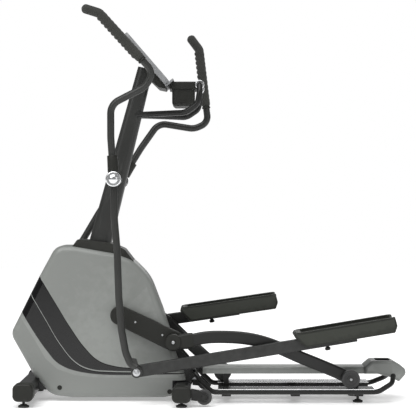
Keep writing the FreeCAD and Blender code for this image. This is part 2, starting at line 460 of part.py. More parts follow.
# ---------------------------------------------------------------- fixed handlebar, pulse grips, tray
fp = [(-318, 30, 1262), (-262, 62, 1262), (-98, 176, 1262), (-44, 188, 1300), (-36, 188, 1352), (-36, 168, 1386), (-36, 96, 1386)]
fpl = fp + [(p[0], -p[1], p[2]) for p in fp[::-1]]
fh = tube(fpl, [0, 60, 60, 40, 30, 30, 0, 0, 30, 30, 40, 60, 60, 0], 12.7, 2.0)
out["fixed_handlebar"] = one(fh.cut(mast_solid))
def sl(p0, p1, r, ri):
    d_ = V(*p1) - V(*p0)
    return Part.makeCylinder(r, d_.Length, V(*p0), d_).cut(Part.makeCylinder(ri, d_.Length, V(*p0), d_))
gr = fil(sl((-36, 96, 1386), (-36, 148, 1386), 20, 12.7), 3, lambda e: e.Length > 100)
out["pulse_grips"] = Part.makeCompound([gr, mir(gr)])
tr = box(-158, -58, -86, 86, 1296, 1372)
tr = fil(tr, 18, lambda e: along(e, (0, 0, 1)) or abs(e.BoundBox.ZMax - 1296) < 0.1)
rim = fil(box(-170, -50, -92, 92, 1372, 1404), 12, lambda e: along(e, (0, 0, 1)))
rim = fil(rim, 5, lambda e: abs(e.BoundBox.ZMin - 1404) < 0.1)
tray_s = fuse(tr, rim)
tray_s = tray_s.cut(cylz(-108, -44, 36, 1302, 1420)).cut(fil(box(-150, -66, 4, 80, 1312, 1420), 10, lambda e: along(e, (0, 0, 1))))
tray_s = tray_s.cut(Part.makeCylinder(12.7, 260, V(-36, -130, 1386), V(0, 1, 0)))
out["accessory_tray"] = fuse(tray_s, box(-50, -36, -60, 60, 1398.7, 1404), box(-52, -49, -60, 60, 1398.7, 1404))

# ---------------------------------------------------------------- rail frame
rp = [(HX, 14, HZ), (HX, 128, HZ), (-36, 158, 104), (18, 158, 51), (738, 158, 51), (804, 120, 84), (822, 34, 128)]
rr_ = [0, 26, 30, 40, 60, 45, 0]
rt = tube(rp, rr_, 11.0, 2.0)
rt = rt.cut(cyl(HX, HZ, 7, -200, 200))
beam = box(-50, 812, -28, 28, 124, 144).cut(box(-51, 813, -25.5, 25.5, 126.5, 141.5))
hinge_block = box(HX - 16, -50, -28, 28, 124, 156)
beam = fuse(beam, hinge_block).cut(cyl(HX, HZ, 8, -60, 60)).cut(cyl(HX, HZ, 11, 14, 60)).cut(cyl(HX, HZ, 11, -60, -14))
rtc = tube(rp, rr_, 11.0, 0)
for t_ in (rtc, mir(rtc)): beam = beam.cut(t_)
out["centre_beam"] = max(beam.Solids, key=lambda t: t.Volume)
lugs_hole = [Part.makeCylinder(11.3, 30, V(HX, 50, HZ), V(0, 1, 0)), Part.makeCylinder(11.3, 30, V(HX, -80, HZ), V(0, 1, 0))]
for c in lugs_hole: out["main_frame"] = out["main_frame"].cut(c)
out["main_frame"] = max(out["main_frame"].Solids, key=lambda t: t.Volume)
out["left_rail_tube"] = one(mir(rt)); out["right_rail_tube"] = one(rt)
out["fold_hinge_pin"] = cyl(HX, HZ, 7, -58, 58)
strips = []
for s_ in (-1, 1):
    y0, y1 = (70, 172) if s_ > 0 else (-172, -70)
    strips.append(box(44, 722, y0, y1, RAIL_Z - 3, RAIL_Z))
out["running_strips"] = Part.makeCompound(strips)
cr = []
for x in (80, 380, 655):
    c = box(x - 20, x + 20, -150, 150, 31, 39)
    cr.append(c)
inner = [box(46, 720, 74, 92, 39, 62), box(46, 720, -92, -74, 39, 62)]
crs = fuse(*(cr + inner))
crs = crs.cut(rtc).cut(mir(rtc))
posts = [box(x - 12, x + 12, -24, 24, 39, 124) for x in (80, 655)]
crs = fuse(crs, *posts)
out["rail_cross_members"] = max(crs.Solids, key=lambda t: t.Volume)

# light grey cover over the beam, and the head with a hand slot at the rear
bc = box(-34, 690, -52, 52, 118, 149)
bc = fil(bc, 12, lambda e: along(e, (1, 0, 0)) and e.BoundBox.ZMin > 140)
bc = fil(bc, 20, lambda e: along(e, (0, 0, 1)) and e.BoundBox.XMin < -30)
bci = fil(box(-31, 691, -49, 49, 100, 146), 9, lambda e: along(e, (1, 0, 0)) and e.BoundBox.ZMin > 140)
bc = bc.cut(bci).cut(box(-60, 690, -28, 28, 110, 144.2))
for x in (80, 655): bc = bc.cut(box(x - 14, x + 14, -26, 26, 100, 126))
out["beam_cover"] = max(bc.Solids, key=lambda t: t.Volume)
hd = [(690, 118), (690, 149), (722, 176), (812, 176), (868, 142), (872, 118), (842, 84), (800, 104), (748, 118)]
def head(o):
    f = Part.Face(outline(hd, [0, 12, 24, 30, 20, 20, 8, 30, 30]))
    if o: f = Part.Face(f.OuterWire.makeOffset2D(-o))
    f.translate(V(0, -72 + o, 0)); s = f.extrude(V(0, 144 - 2 * o, 0))
    return fil(s, 14 - o, lambda e: e.BoundBox.YLength < 0.01 and abs(abs(e.BoundBox.YMin) - 72 + o) < 0.1 and e.BoundBox.XMax > 700)
hs = head(0).cut(head(3.0))
hs = hs.cut(fil(box(742, 806, -48, 48, 150, 200), 12, lambda e: along(e, (0, 0, 1))))
hs = hs.cut(box(600, 812.5, -28.2, 28.2, 123.8, 144.2))
for t_ in (rtc, mir(rtc)): hs = hs.cut(t_)
out["rear_handle_cover"] = max(hs.Solids, key=lambda t: t.Volume)

# fold spring between the frame and the rail frame
wv = []
helix_r, n_t = 9.0, 7
spr = None
for i in range(n_t):
    t = Part.makeTorus(helix_r, 2.2, V(-70 + i * 3.9, -36, 102 - i * 0.0), V(1, 0, 0))
    spr = t if spr is None else spr.fuse(t)
rod = Part.makeCylinder(7.0, 34, V(-74, -36, 102), V(1, 0, 0))
out["fold_spring"] = one(fuse(rod, spr))

# ---------------------------------------------------------------- transport wheels
TX, TZ, TR = -18.0, 33.5 + 8, 33.0
TX, TZ = -16.0, 42.0
brk = []
twh = {}
for s_, n in ((-1, "left"), (1, "right")):
    b = prism([(MS[1] + 4, 30), (MS[1] + 4, 76), (-40, 70), (TX + 14, 58), (TX + 16, 34), (TX - 6, 26)], [0, 0, 20, 12, 12, 12], 232, 236)
    b = b.cut(cyl(TX, TZ, 6, 200, 300))
    b2 = b.copy(); b2.translate(V(0, 34.5, 0))
    ax = cyl(TX, TZ, 6, 228, 274)
    bb = fuse(b, b2, cyl(TX, TZ, 6, 232, 270.5), cyl(TX, TZ, 10, 228, 232), cyl(TX, TZ, 10, 270.5, 275), box(MS[1] + 4, MS[1] + 9, 232, 270.5, 34, 74))
    w = fil(cyl(0, 0, TR, 238, 264.5), 5).cut(cyl(0, 0, 6 + RUN, 200, 300)).cut(cyl(0, 0, 20, 261.5, 270))
    w.translate(V(TX, 0, TZ))
    if s_ < 0: bb = mir(bb); w = mir(w)
    brk.append(one(bb)); twh[n] = one(w)
out["wheel_brackets"] = Part.makeCompound(brk)
out["left_transport_wheel"] = twh["left"]; out["right_transport_wheel"] = twh["right"]

# ---------------------------------------------------------------- trims so that neighbours meet face to face
def cut(a, *bs):
    s = out[a]
    for b in bs:
        t = s.cut(out[b])
        if t.isNull() or not t.Solids: print("cut failed", a, b); continue
        s = t
    sol = [t for t in s.Solids if t.Volume > 50]
    out[a] = sol[0] if len(sol) == 1 else Part.makeCompound(sol)
cut("main_frame", "front_stabilizer", "middle_stabilizer", "crank_bearings", "flywheel_axle")
fsolid = fil(box(FS[0], FS[1], -80, 80, FS[2], FS[3]), 22, lambda e: along(e, (0, 1, 0)))
msolid = fil(box(MS[0], MS[1], -80, 80, MS[2], MS[3]), 22, lambda e: along(e, (0, 1, 0)))
for c in (fsolid, msolid):
    t = out["main_frame"].cut(c)
    if t.isNull() or not t.Solids: print("frame cut failed"); continue
    out["main_frame"] = max(t.Solids, key=lambda t: t.Volume)
for n in ("left", "right"):
    cut(n + "_shroud", "main_frame", "front_stabilizer", "middle_stabilizer", "rail_cross_members", "fold_spring")
    out[n + "_shroud"] = max(out[n + "_shroud"].Solids, key=lambda t: t.Volume)
cut("shroud_top_cover", "mast")
cut("centre_beam", "rail_cross_members")
def main(a, b):
    """cuts b's shape from a and keeps a's largest solid"""
    t = out[a].cut(out[b])
    if t.isNull() or not t.Solids: print("cut failed", a, b); return
    out[a] = max(t.Solids, key=lambda q: q.Volume)
main("main_frame", "mast")
main("shroud_top_cover", "main_frame")
main("console_housing", "accessory_tray")
main("console_back_cover", "console_housing")
main("left_pedal_mat", "left_pedal")
main("right_pedal_mat", "right_pedal")
cut("shroud_inlays", "main_frame")
for a, b in (("main_frame", "mast"), ("shroud_top_cover", "main_frame"), ("console_housing", "accessory_tray"), ("console_back_cover", "console_housing"),
             ("left_pedal_mat", "left_pedal"), ("right_pedal_mat", "right_pedal"), ("shroud_inlays", "main_frame")):
    print("shared volume", a, b, round(out[a].common(out[b]).Volume, 2))

tot = None
for n, s in out.items():
    s = s.copy(); s.translate(V(X_SHIFT, 0, 0)); out[n] = s
    bb = s.BoundBox
    tot = bb if tot is None else tot.united(bb)
    print("%-26s solids %d valid %s vol %.0f" % (n, len(s.Solids), s.isValid(), s.Volume), "box", [round(v, 1) for v in (bb.XMin, bb.XMax, bb.YMin, bb.YMax, bb.ZMin, bb.ZMax)])
    s.exportStep("parts/%s.step" % n)
print("nodes", len(out), "total", tot)
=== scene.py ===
import bpy, bmesh, math, json
from mathutils import Vector as V, Matrix

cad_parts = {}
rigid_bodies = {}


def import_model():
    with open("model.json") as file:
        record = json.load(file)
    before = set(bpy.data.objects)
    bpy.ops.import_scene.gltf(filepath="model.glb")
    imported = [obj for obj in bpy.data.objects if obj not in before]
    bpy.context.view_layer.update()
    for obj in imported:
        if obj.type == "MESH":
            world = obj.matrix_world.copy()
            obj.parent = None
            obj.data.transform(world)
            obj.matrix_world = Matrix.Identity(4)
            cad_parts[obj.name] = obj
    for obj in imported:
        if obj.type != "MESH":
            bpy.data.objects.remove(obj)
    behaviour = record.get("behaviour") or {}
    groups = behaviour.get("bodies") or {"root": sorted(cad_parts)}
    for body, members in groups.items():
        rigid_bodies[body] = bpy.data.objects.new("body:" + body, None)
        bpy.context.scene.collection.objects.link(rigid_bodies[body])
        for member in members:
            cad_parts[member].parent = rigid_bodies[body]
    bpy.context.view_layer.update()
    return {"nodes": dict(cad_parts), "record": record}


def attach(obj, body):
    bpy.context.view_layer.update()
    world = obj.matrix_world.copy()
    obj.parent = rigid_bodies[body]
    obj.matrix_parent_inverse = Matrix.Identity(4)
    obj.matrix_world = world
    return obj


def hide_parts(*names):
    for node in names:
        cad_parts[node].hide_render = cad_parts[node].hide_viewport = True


for o in list(bpy.data.objects): bpy.data.objects.remove(o, do_unlink=True)
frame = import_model()
SX = -0.00381          # the CAD model's own shift along X, in metres

# ------------------------------------------------------------------ camera, light, floor
cam_d = bpy.data.cameras.new("camera"); cam = bpy.data.objects.new("camera", cam_d)
bpy.context.collection.objects.link(cam)
cam.location = (SX, -6.2, 0.871); cam.rotation_euler = (math.radians(90), 0, 0)
cam_d.sensor_width = 36; cam_d.lens = 36 * 1393.0 / 416.0; cam_d.shift_y = -5.0 / 416.0
cam_d.clip_end = 60
cam_d.dof.use_dof = False
bpy.context.scene.camera = cam
bpy.context.scene.view_settings.view_transform = "Standard"

w = bpy.data.worlds.new("studio"); bpy.context.scene.world = w; w.use_nodes = True
wt = w.node_tree; bg = wt.nodes["Background"]; bg.inputs[0].default_value = (1, 1, 1, 1); bg.inputs[1].default_value = 0.21
bg2 = wt.nodes.new("ShaderNodeBackground"); bg2.inputs[0].default_value = (1, 1, 1, 1); bg2.inputs[1].default_value = 1.0
lp = wt.nodes.new("ShaderNodeLightPath"); mx = wt.nodes.new("ShaderNodeMixShader")
wt.links.new(lp.outputs["Is Camera Ray"], mx.inputs[0]); wt.links.new(bg.outputs[0], mx.inputs[1]); wt.links.new(bg2.outputs[0], mx.inputs[2])
wt.links.new(mx.outputs[0], wt.nodes["World Output"].inputs[0])
def area(name, loc, aim, size, power, col=(1, 1, 1)):
    l = bpy.data.lights.new(name, "AREA"); l.shape = "RECTANGLE"; l.size, l.size_y = size; l.energy = power; l.color = col
    o = bpy.data.objects.new(name, l); bpy.context.collection.objects.link(o); o.location = loc
    o.rotation_euler = (V(aim) - V(loc)).to_track_quat("-Z", "Y").to_euler(); return o
area("key", (-2.6, -3.4, 3.6), (0, 0, 0.7), (2.6, 2.6), 70)
area("fill", (3.2, -3.0, 2.4), (0, 0, 0.7), (2.4, 2.4), 20)
sl = bpy.data.lights.new("overhead", "SUN"); sl.energy = 2.3; sl.angle = math.radians(55)
so = bpy.data.objects.new("overhead", sl); bpy.context.collection.objects.link(so); so.rotation_euler = (math.radians(24), math.radians(-8), 0)
area("back", (1.2, 3.8, 2.6), (0, 0, 0.8), (3.0, 2.0), 40)

# ------------------------------------------------------------------ materials
class N:
    def __init__(s, name):
        s.m = bpy.data.materials.new(name); s.m.use_nodes = True; s.t = s.m.node_tree; s.t.nodes.clear()
        s.out = s.n("ShaderNodeOutputMaterial"); s.b = s.n("ShaderNodeBsdfPrincipled"); s.l(s.b.outputs[0], s.out.inputs[0])
        s.co = s.n("ShaderNodeTexCoord").outputs["Object"]
    def n(s, k, **kw):
        x = s.t.nodes.new(k)
        for a, v in kw.items(): setattr(x, a, v)
        return x
    def l(s, a, b): s.t.links.new(a, b)
    def noise(s, scale, detail=3, rough=0.5, co=None):
        x = s.n("ShaderNodeTexNoise"); x.inputs["Scale"].default_value = scale; x.inputs["Detail"].default_value = detail
        x.inputs["Roughness"].default_value = rough; s.l(co or s.co, x.inputs["Vector"]); return x.outputs["Fac"]
    def voro(s, scale, co=None, feature="F1"):
        x = s.n("ShaderNodeTexVoronoi", feature=feature); x.inputs["Scale"].default_value = scale; s.l(co or s.co, x.inputs["Vector"]); return x.outputs["Distance"]
    def rng(s, v, a, b, c=0.0, d=1.0):
        x = s.n("ShaderNodeMapRange"); x.inputs[1].default_value = c; x.inputs[2].default_value = d; x.inputs[3].default_value = a; x.inputs[4].default_value = b
        s.l(v, x.inputs[0]); return x.outputs[0]
    def mix(s, f, a, b):
        x = s.n("ShaderNodeMix", data_type="RGBA")
        if isinstance(f, float): x.inputs[0].default_value = f
        else: s.l(f, x.inputs[0])
        for i, c in ((6, a), (7, b)):
            if isinstance(c, tuple): x.inputs[i].default_value = (*c, 1)
            else: s.l(c, x.inputs[i])
        return x.outputs[2]
    def bump(s, hs, dist, strength=1.0, prev=None):
        x = s.n("ShaderNodeBump"); x.inputs["Distance"].default_value = dist; x.inputs["Strength"].default_value = strength
        s.l(hs, x.inputs["Height"])
        if prev: s.l(prev, x.inputs["Normal"])
        return x.outputs["Normal"]
    def math(s, op, a, b=None, clamp=False):
        x = s.n("ShaderNodeMath", operation=op); x.use_clamp = clamp
        for i, v in enumerate((a, b)):
            if v is None: continue
            if isinstance(v, (int, float)): x.inputs[i].default_value = v
            else: s.l(v, x.inputs[i])
        return x.outputs[0]
    def done(s, col, rough, metal=0.0, normal=None, **kw):
        s.l(col, s.b.inputs["Base Color"]) if not isinstance(col, tuple) else setattr(s.b.inputs["Base Color"], "default_value", (*col, 1))
        if isinstance(rough, float): s.b.inputs["Roughness"].default_value = rough
        else: s.l(rough, s.b.inputs["Roughness"])
        s.b.inputs["Metallic"].default_value = metal
        if normal: s.l(normal, s.b.inputs["Normal"])
        for k, v in kw.items(): s.b.inputs[k.replace("_", " ")].default_value = v
        return s.m
def edge(s, r):
    x = s.n("ShaderNodeBevel"); x.samples = 4; x.inputs["Radius"].default_value = r; return x.outputs[0]
def painted_edge_highlight(s, lo, hi):
    """painted highlight: lighter along sharp convex edges"""
    g = s.n("ShaderNodeNewGeometry"); return s.rng(s.math("MULTIPLY", g.outputs["Pointiness"], s.rng(s.noise(35, 4), 0.9, 1.1)), 0.0, 1.0, lo, hi)

def painted(name, col, rough=0.4, fleck=0.25, er=0.0012):
    s = N(name); big = s.noise(5, 4); fine = s.noise(1400, 2)
    c = s.mix(s.rng(big, 0, 1, 0.3, 0.7), tuple(v * 0.88 for v in col), tuple(v * 1.14 for v in col))
    c = s.mix(s.math("MULTIPLY", s.rng(fine, 0, 1, 0.56, 0.72), fleck), c, tuple(v * 1.8 + 0.01 for v in col))
    # painted highlight: lighter colour along convex edges
    c = s.mix(s.math("MULTIPLY", painted_edge_highlight(s, 0.545, 0.62), 0.5), c, tuple(v * 2.4 + 0.02 for v in col))
    r = s.math("ADD", s.rng(s.noise(14, 5), rough - 0.06, rough + 0.08), s.rng(fine, -0.03, 0.05))
    n = s.bump(s.noise(620, 3), 0.00012, 0.55, edge(s, er))
    return s.done(c, r, 0.0, n, Specular_IOR_Level=0.3, Coat_Weight=0.06, Coat_Roughness=0.25)
def plastic(name, col, rough=0.5, grain=900.0, depth=0.00012, er=0.0012, spec=0.3, var=0.1, dusty=0.08):
    s = N(name); big = s.noise(6, 5)
    c = s.mix(s.rng(big, 0, 1, 0.3, 0.7), tuple(v * (1 - var) for v in col), tuple(v * (1 + var) for v in col))
    dust = s.rng(s.noise(60, 6, 0.7), 0, dusty, 0.5, 0.9)
    c = s.mix(dust, c, tuple(min(1, v * 1.5 + 0.02) for v in col))
    # painted highlight: lighter colour along convex edges
    c = s.mix(s.math("MULTIPLY", painted_edge_highlight(s, 0.55, 0.64), 0.35), c, tuple(min(1, v * 1.9 + 0.015) for v in col))
    r = s.rng(s.noise(22, 5), rough - 0.06, rough + 0.07)
    n = s.bump(s.voro(grain), depth, 0.6, edge(s, er))
    return s.done(c, r, 0.0, n, Specular_IOR_Level=spec)
def grainy(name, col):
    """leather-like moulded grain, as on the pedals"""
    s = N(name)
    v1 = s.voro(260, feature="DISTANCE_TO_EDGE"); v2 = s.noise(900, 3)
    h = s.math("ADD", s.rng(v1, 0, 1, 0.0, 0.12), s.math("MULTIPLY", v2, 0.25))
    c = s.mix(s.rng(v1, 0, 1, 0.0, 0.1), tuple(v * 0.75 for v in col), tuple(v * 1.12 for v in col))
    c = s.mix(s.rng(s.noise(12, 6, 0.65), 0, 0.25, 0.52, 0.85), c, tuple(v * 1.7 + 0.012 for v in col))
    # painted highlight: lighter colour along convex edges
    c = s.mix(s.math("MULTIPLY", painted_edge_highlight(s, 0.545, 0.62), 0.5), c, tuple(v * 2.2 + 0.015 for v in col))
    n = s.bump(h, 0.00035, 0.6, edge(s, 0.0018))
    return s.done(c, s.rng(s.noise(30, 4), 0.42, 0.58), 0.0, n, Specular_IOR_Level=0.3)
def metal(name, col, rough=0.25, brush=(1, 60, 60), aniso=0.0):
    s = N(name); mp = s.n("ShaderNodeMapping"); mp.inputs["Scale"].default_value = brush; s.l(s.co, mp.inputs[0])
    b = s.noise(28, 5, 0.6, mp.outputs[0])
    c = s.mix(s.rng(b, 0, 1, 0.3, 0.7), tuple(v * 0.86 for v in col), tuple(min(1, v * 1.08) for v in col))
    n = s.bump(b, 0.00006, 0.35, edge(s, 0.0008))
    return s.done(c, s.rng(b, rough - 0.05, rough + 0.08), 1.0, n, Anisotropic=aniso)
def foam(name, col):
    s = N(name); cells = s.voro(1500); f = s.noise(2600, 2)
    h = s.math("ADD", cells, s.math("MULTIPLY", f, 0.6))
    c = s.mix(s.rng(cells, 0, 1, 0.1, 0.7), tuple(v * 1.2 for v in col), tuple(v * 0.7 for v in col))
    c = s.mix(s.rng(s.noise(26, 5), 0, 0.3, 0.5, 0.85), c, tuple(v * 1.6 + 0.008 for v in col))
    return s.done(c, s.rng(f, 0.78, 0.95), 0.0, s.bump(h, 0.0003, 0.7), Sheen_Weight=0.12, Sheen_Roughness=0.6)
def rubber(name, col, rough=0.7):
    s = N(name); f = s.noise(700, 4)
    c = s.mix(s.rng(s.noise(18, 6, 0.7), 0, 0.5, 0.45, 0.8), col, tuple(v * 1.7 + 0.012 for v in col))
    return s.done(c, s.rng(f, rough - 0.08, rough + 0.1), 0.0, s.bump(f, 0.00018, 0.5, edge(s, 0.0012)))

def two_tone(name, grey, black):
    """the cover: satin grey with two curved gloss black bands; the thin line of grey between them is a painted
    highlight on the lower edge of the upper band
    """
    s = N(name); sep = s.n("ShaderNodeSeparateXYZ"); s.l(s.co, sep.inputs[0])
    X0, X1, ZT = -0.9 + SX, -0.06 + SX, 0.85
    xn = s.rng(sep.outputs[0], 0, 1, X0, X1)
    def curve(pts):
        c = s.n("ShaderNodeFloatCurve"); cv = c.mapping.curves[0]
        ps = [((x / 1000 + 0.9) / 0.84, z / 1000 / ZT) for x, z in pts]
        cv.points[0].location = ps[0]; cv.points[1].location = ps[-1]
        for q in ps[1:-1]: cv.points.new(*q)
        for q in cv.points: q.handle_type = "AUTO_CLAMPED"
        c.mapping.update(); s.l(xn, c.inputs["Value"]); return s.math("MULTIPLY", c.outputs[0], ZT)
    U = curve([(-900, 816), (-740, 551), (-667, 430), (-602, 324), (-537, 234), (-480, 181), (-407, 156), (-317, 147), (-200, 137), (-60, 128)])
    M = curve([(-900, 680), (-773, 462), (-716, 364), (-643, 243), (-578, 169), (-521, 141), (-423, 131), (-317, 129), (-200, 127), (-60, 125)])
    L = curve([(-900, 526), (-813, 386), (-749, 283), (-700, 215), (-667, 177), (-630, 153), (-586, 137), (-488, 121), (-358, 117), (-200, 119), (-60, 123)])
    Z = sep.outputs[2]
    def above(c, off, wd):
        return s.rng(s.math("SUBTRACT", s.math("SUBTRACT", Z, c), off), 0, 1, -wd, wd)
    def mask(wd):
        # the 5 mm gap under the upper band stays grey: a painted highlight on that band's lower edge
        a = s.math("MULTIPLY", above(M, 0.0045, wd), s.math("SUBTRACT", 1.0, above(U, 0.0, wd)))
        b = s.math("MULTIPLY", above(L, 0.0, wd), s.math("SUBTRACT", 1.0, above(M, -0.0005, wd)))
        return s.math("ADD", a, b, True)
    m = mask(0.0007); soft = mask(0.003)
    big = s.noise(4, 3); fine = s.noise(1800, 2)
    g = s.mix(s.rng(big, 0, 1, 0.3, 0.7), tuple(v * 0.97 for v in grey), tuple(v * 1.03 for v in grey))
    g = s.mix(s.math("MULTIPLY", s.rng(fine, 0, 1, 0.58, 0.75), 0.10), g, tuple(v * 1.7 for v in grey))
    # painted highlight: lighter grey along convex edges
    g = s.mix(s.math("MULTIPLY", painted_edge_highlight(s, 0.53, 0.6), 0.35), g, tuple(v * 1.6 for v in grey))
    c = s.mix(m, g, black)
    r = s.math("ADD", s.math("MULTIPLY", s.math("SUBTRACT", 1.0, m), 0.19), s.rng(fine, 0.13, 0.18))
    n = s.bump(soft, 0.0012, 0.7); n = s.bump(fine, 0.00002, 0.5, n)
    return s.done(c, r, 0.0, n, Specular_IOR_Level=0.45)

GREY = (0.205, 0.214, 0.203)
MATS = {
    "frame_paint": painted("powder_black", (0.0095, 0.0098, 0.0092), 0.33, 0.15),
    "mast_paint": painted("powder_graphite", (0.028, 0.0287, 0.0272), 0.33, 0.2),
    # darker copy of the handlebars' powder paint: painted shade for the low arms and roller axles
    "arm_paint_shaded": painted("powder_arm_shaded", (0.0150, 0.0154, 0.0146), 0.33, 0.2),
    "shroud_grey": plastic("satin_grey", GREY, 0.34, 1500, 0.00004, 0.002, 0.5, 0.02, 0.04),
    "inlay_black": plastic("gloss_inlay", (0.0022, 0.0022, 0.0025), 0.17, 2200, 0.00001, 0.001, 0.3, 0.1, 0.0),
    "black_plastic": plastic("moulded_black", (0.014, 0.0145, 0.012), 0.48, 900, 0.00014, 0.0022),
    "pedal_plastic": grainy("pedal_grain", (0.016, 0.0175, 0.0135)),
    "mat_rubber": rubber("rib_rubber", (0.022, 0.022, 0.021)),
    "foam": foam("grip_foam", (0.024, 0.025, 0.021)),
    "chrome": metal("chrome", (0.82, 0.83, 0.84), 0.2, (8, 8, 8)),
    "steel": metal("machined_steel", (0.55, 0.56, 0.57), 0.3),
    "aluminium": metal("brushed_strip", (0.86, 0.87, 0.88), 0.24, (0.3, 3, 3)),
    "cast": metal("turned_iron", (0.2, 0.2, 0.21), 0.42, (30, 2, 30)),
    "belt": rubber("belt_rubber", (0.014, 0.014, 0.014), 0.6),
    "wheel": rubber("tyre_rubber", (0.03, 0.03, 0.03), 0.55),
    "screen": plastic("screen_glass", (0.006, 0.008, 0.011), 0.09, 3000, 0.00001, 0.0008, 0.5, 0.05),
    "console_silver": plastic("console_silver", (0.26, 0.265, 0.27), 0.34, 300, 0.000004, 0.0, 0.4, 0.03, 0.02),
    "button_grey": plastic("key_grey", (0.25, 0.26, 0.26), 0.4, 1500, 0.00004, 0.001),
}
SLOT = {p["node"]: p["material_slot"] for p in frame["record"]["subparts"]}
def paint(o, m):
    o.data.materials.clear(); o.data.materials.append(m)
COVER = two_tone("cover_two_tone", GREY, (0.0028, 0.0028, 0.003))
for name, o in frame["nodes"].items():
    for i in range(max(1, len(o.material_slots))):
        if not o.material_slots: o.data.materials.append(MATS[SLOT[name]])
        else: o.material_slots[i].material = MATS[SLOT[name]]

# arms and roller axles take the darker copy of the handlebars' paint: painted shade on the low parts
for name in ("left_roller_axle", "right_roller_axle", "left_roller_arm", "right_roller_arm", "left_pedal_arm", "right_pedal_arm"):
    for sl_ in frame["nodes"][name].material_slots: sl_.material = MATS["arm_paint_shaded"]
for name in ("left_shroud", "right_shroud", "shroud_inlays"):
    for sl_ in frame["nodes"][name].material_slots: sl_.material = COVER

# ------------------------------------------------------------------ mesh helpers
def mesh(name, verts, faces, mat, smooth=True):
    me = bpy.data.meshes.new(name); me.from_pydata([tuple(v) for v in verts], [], faces); me.validate(); me.update()
    bm = bmesh.new(); bm.from_mesh(me); bmesh.ops.remove_doubles(bm, verts=bm.verts, dist=1e-6); bmesh.ops.recalc_face_normals(bm, faces=bm.faces); bm.to_mesh(me); bm.free()
    for p in me.polygons: p.use_smooth = smooth
    me.materials.append(mat)
    o = bpy.data.objects.new(name, me); bpy.context.collection.objects.link(o); return o
def lathe(name, prof, origin, axis, mat, n=48, ref=None):
    """prof: (radius, along axis) from one end to the other; closed at the axis"""
    ax = V(axis).normalized(); u = ax.orthogonal().normalized() if ref is None else V(ref); v = ax.cross(u)
    vs, fs = [], []
    for r, h in prof:
        for i in range(n):
            a = 2 * math.pi * i / n; vs.append(V(origin) + ax * h + (u * math.cos(a) + v * math.sin(a)) * r)
    for j in range(len(prof) - 1):
        for i in range(n):
            k = (i + 1) % n; fs.append((j * n + i, j * n + k, (j + 1) * n + k, (j + 1) * n + i))
    fs.append(tuple(range(n))[::-1]); fs.append(tuple(range((len(prof) - 1) * n, len(prof) * n)))
    o = mesh(name, vs, fs, mat, False)
    for p in o.data.polygons: p.use_smooth = len(p.vertices) == 4
    return o
def rounded_path(pts, rs, step=0.006):
    """points along straight runs joined by tangent arcs"""
    out = [V(pts[0])]
    for i in range(1, len(pts) - 1):
        a, b, c = V(pts[i - 1]), V(pts[i]), V(pts[i + 1]); u = (a - b).normalized(); w_ = (c - b).normalized(); ang = u.angle(w_)
        t = min(rs[i] / math.tan(ang / 2), 0.49 * min((a - b).length, (c - b).length)); r = t * math.tan(ang / 2)
        cen = b + (u + w_).normalized() * (r / math.sin(ang / 2)); p0, p1 = b + u * t, b + w_ * t
        n = max(4, int((math.pi - ang) * r / step)); q0, q1 = p0 - cen, p1 - cen; tot = q0.angle(q1)
        for k in range(n + 1):
            f = k / n; out.append(cen + (q0 * math.sin((1 - f) * tot) + q1 * math.sin(f * tot)) / math.sin(tot))
    out.append(V(pts[-1]))
    res = [out[0]]
    for p in out[1:]:
        d = (p - res[-1]).length
        if d < 1e-5: continue
        k = max(1, int(d / step)); s0 = res[-1].copy()
        for j in range(1, k + 1): res.append(s0.lerp(p, j / k))
    return res
def sweep(name, path, rad, mat, n=40, ridge=None):
    """rings along path; rad(s, a) gives the radius at arc length s and angle a; the angle 0 looks along ridge"""
    vs, fs, s = [], [], 0.0; up = V(ridge)
    L = sum((path[i + 1] - path[i]).length for i in range(len(path) - 1))
    for i, p in enumerate(path):
        t = (path[min(i + 1, len(path) - 1)] - path[max(i - 1, 0)]).normalized()
        if i: s += (p - path[i - 1]).length
        u = (up - t * up.dot(t)).normalized(); v = t.cross(u)
        for k in range(n):
            a = 2 * math.pi * k / n; vs.append(p + (u * math.cos(a) + v * math.sin(a)) * rad(s, a, L))
    for i in range(len(path) - 1):
        for k in range(n):
            m = (k + 1) % n; fs.append((i * n + k, i * n + m, (i + 1) * n + m, (i + 1) * n + k))
    fs.append(tuple(range(n))[::-1]); fs.append(tuple(range((len(path) - 1) * n, len(path) * n)))
    return mesh(name, vs, fs, mat)
def turned(o, deg, centre):
    """turn about the Y axis through centre (x, z)"""
    c = V((centre[0], 0, centre[1])); m = Matrix.Translation(c) @ Matrix.Rotation(math.radians(deg), 4, "Y") @ Matrix.Translation(-c)
    o.data.transform(m)
def mirrored(o, name):
    me = o.data.copy(); me.transform(Matrix.Scale(-1, 4, V((0, 1, 0)))); me.flip_normals()
    q = bpy.data.objects.new(name, me); bpy.context.collection.objects.link(q); return q
def rep(o, node, body):
    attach(o, body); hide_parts(node); return o
def add(o, body):
    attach(o, body); return o
def mm(x, y, z): return V((x / 1000 + SX, y / 1000, z / 1000))

# ------------------------------------------------------------------ foam grips with finger ridges
YG = -270.0
gp = [mm(-284, YG, 1483.5), mm(-300, YG, 1501), mm(-462, YG, 1679), mm(-538, YG + 2, 1703)]
path = rounded_path(gp, [0, 0.04, 0.036, 0], 0.003)
def grip_r(s, a, L):
    base = 0.0203
    e0 = min(s, 0.012) / 0.012; e1 = min(L - s, 0.018) / 0.018
    r = base * (0.80 + 0.20 * math.sin(e0 * math.pi / 2)) * (math.sqrt(max(0.03, 1 - (1 - e1) ** 2)))
    if s < 0.006: r *= 1.0
    face = max(0.0, math.cos(a)) ** 1.3
    if 0.022 < s < L - 0.085:
        ph = (s - 0.022) / 0.0215
        r += face * 0.0052 * (abs(math.sin(ph * math.pi)) ** 0.7) - face * 0.0006
        r += 0.0006 * math.sin(ph * 2 * math.pi) * max(0, -math.cos(a))
    return r
DD = 35.56381929
H = (-0.403 + SX, 0.973)
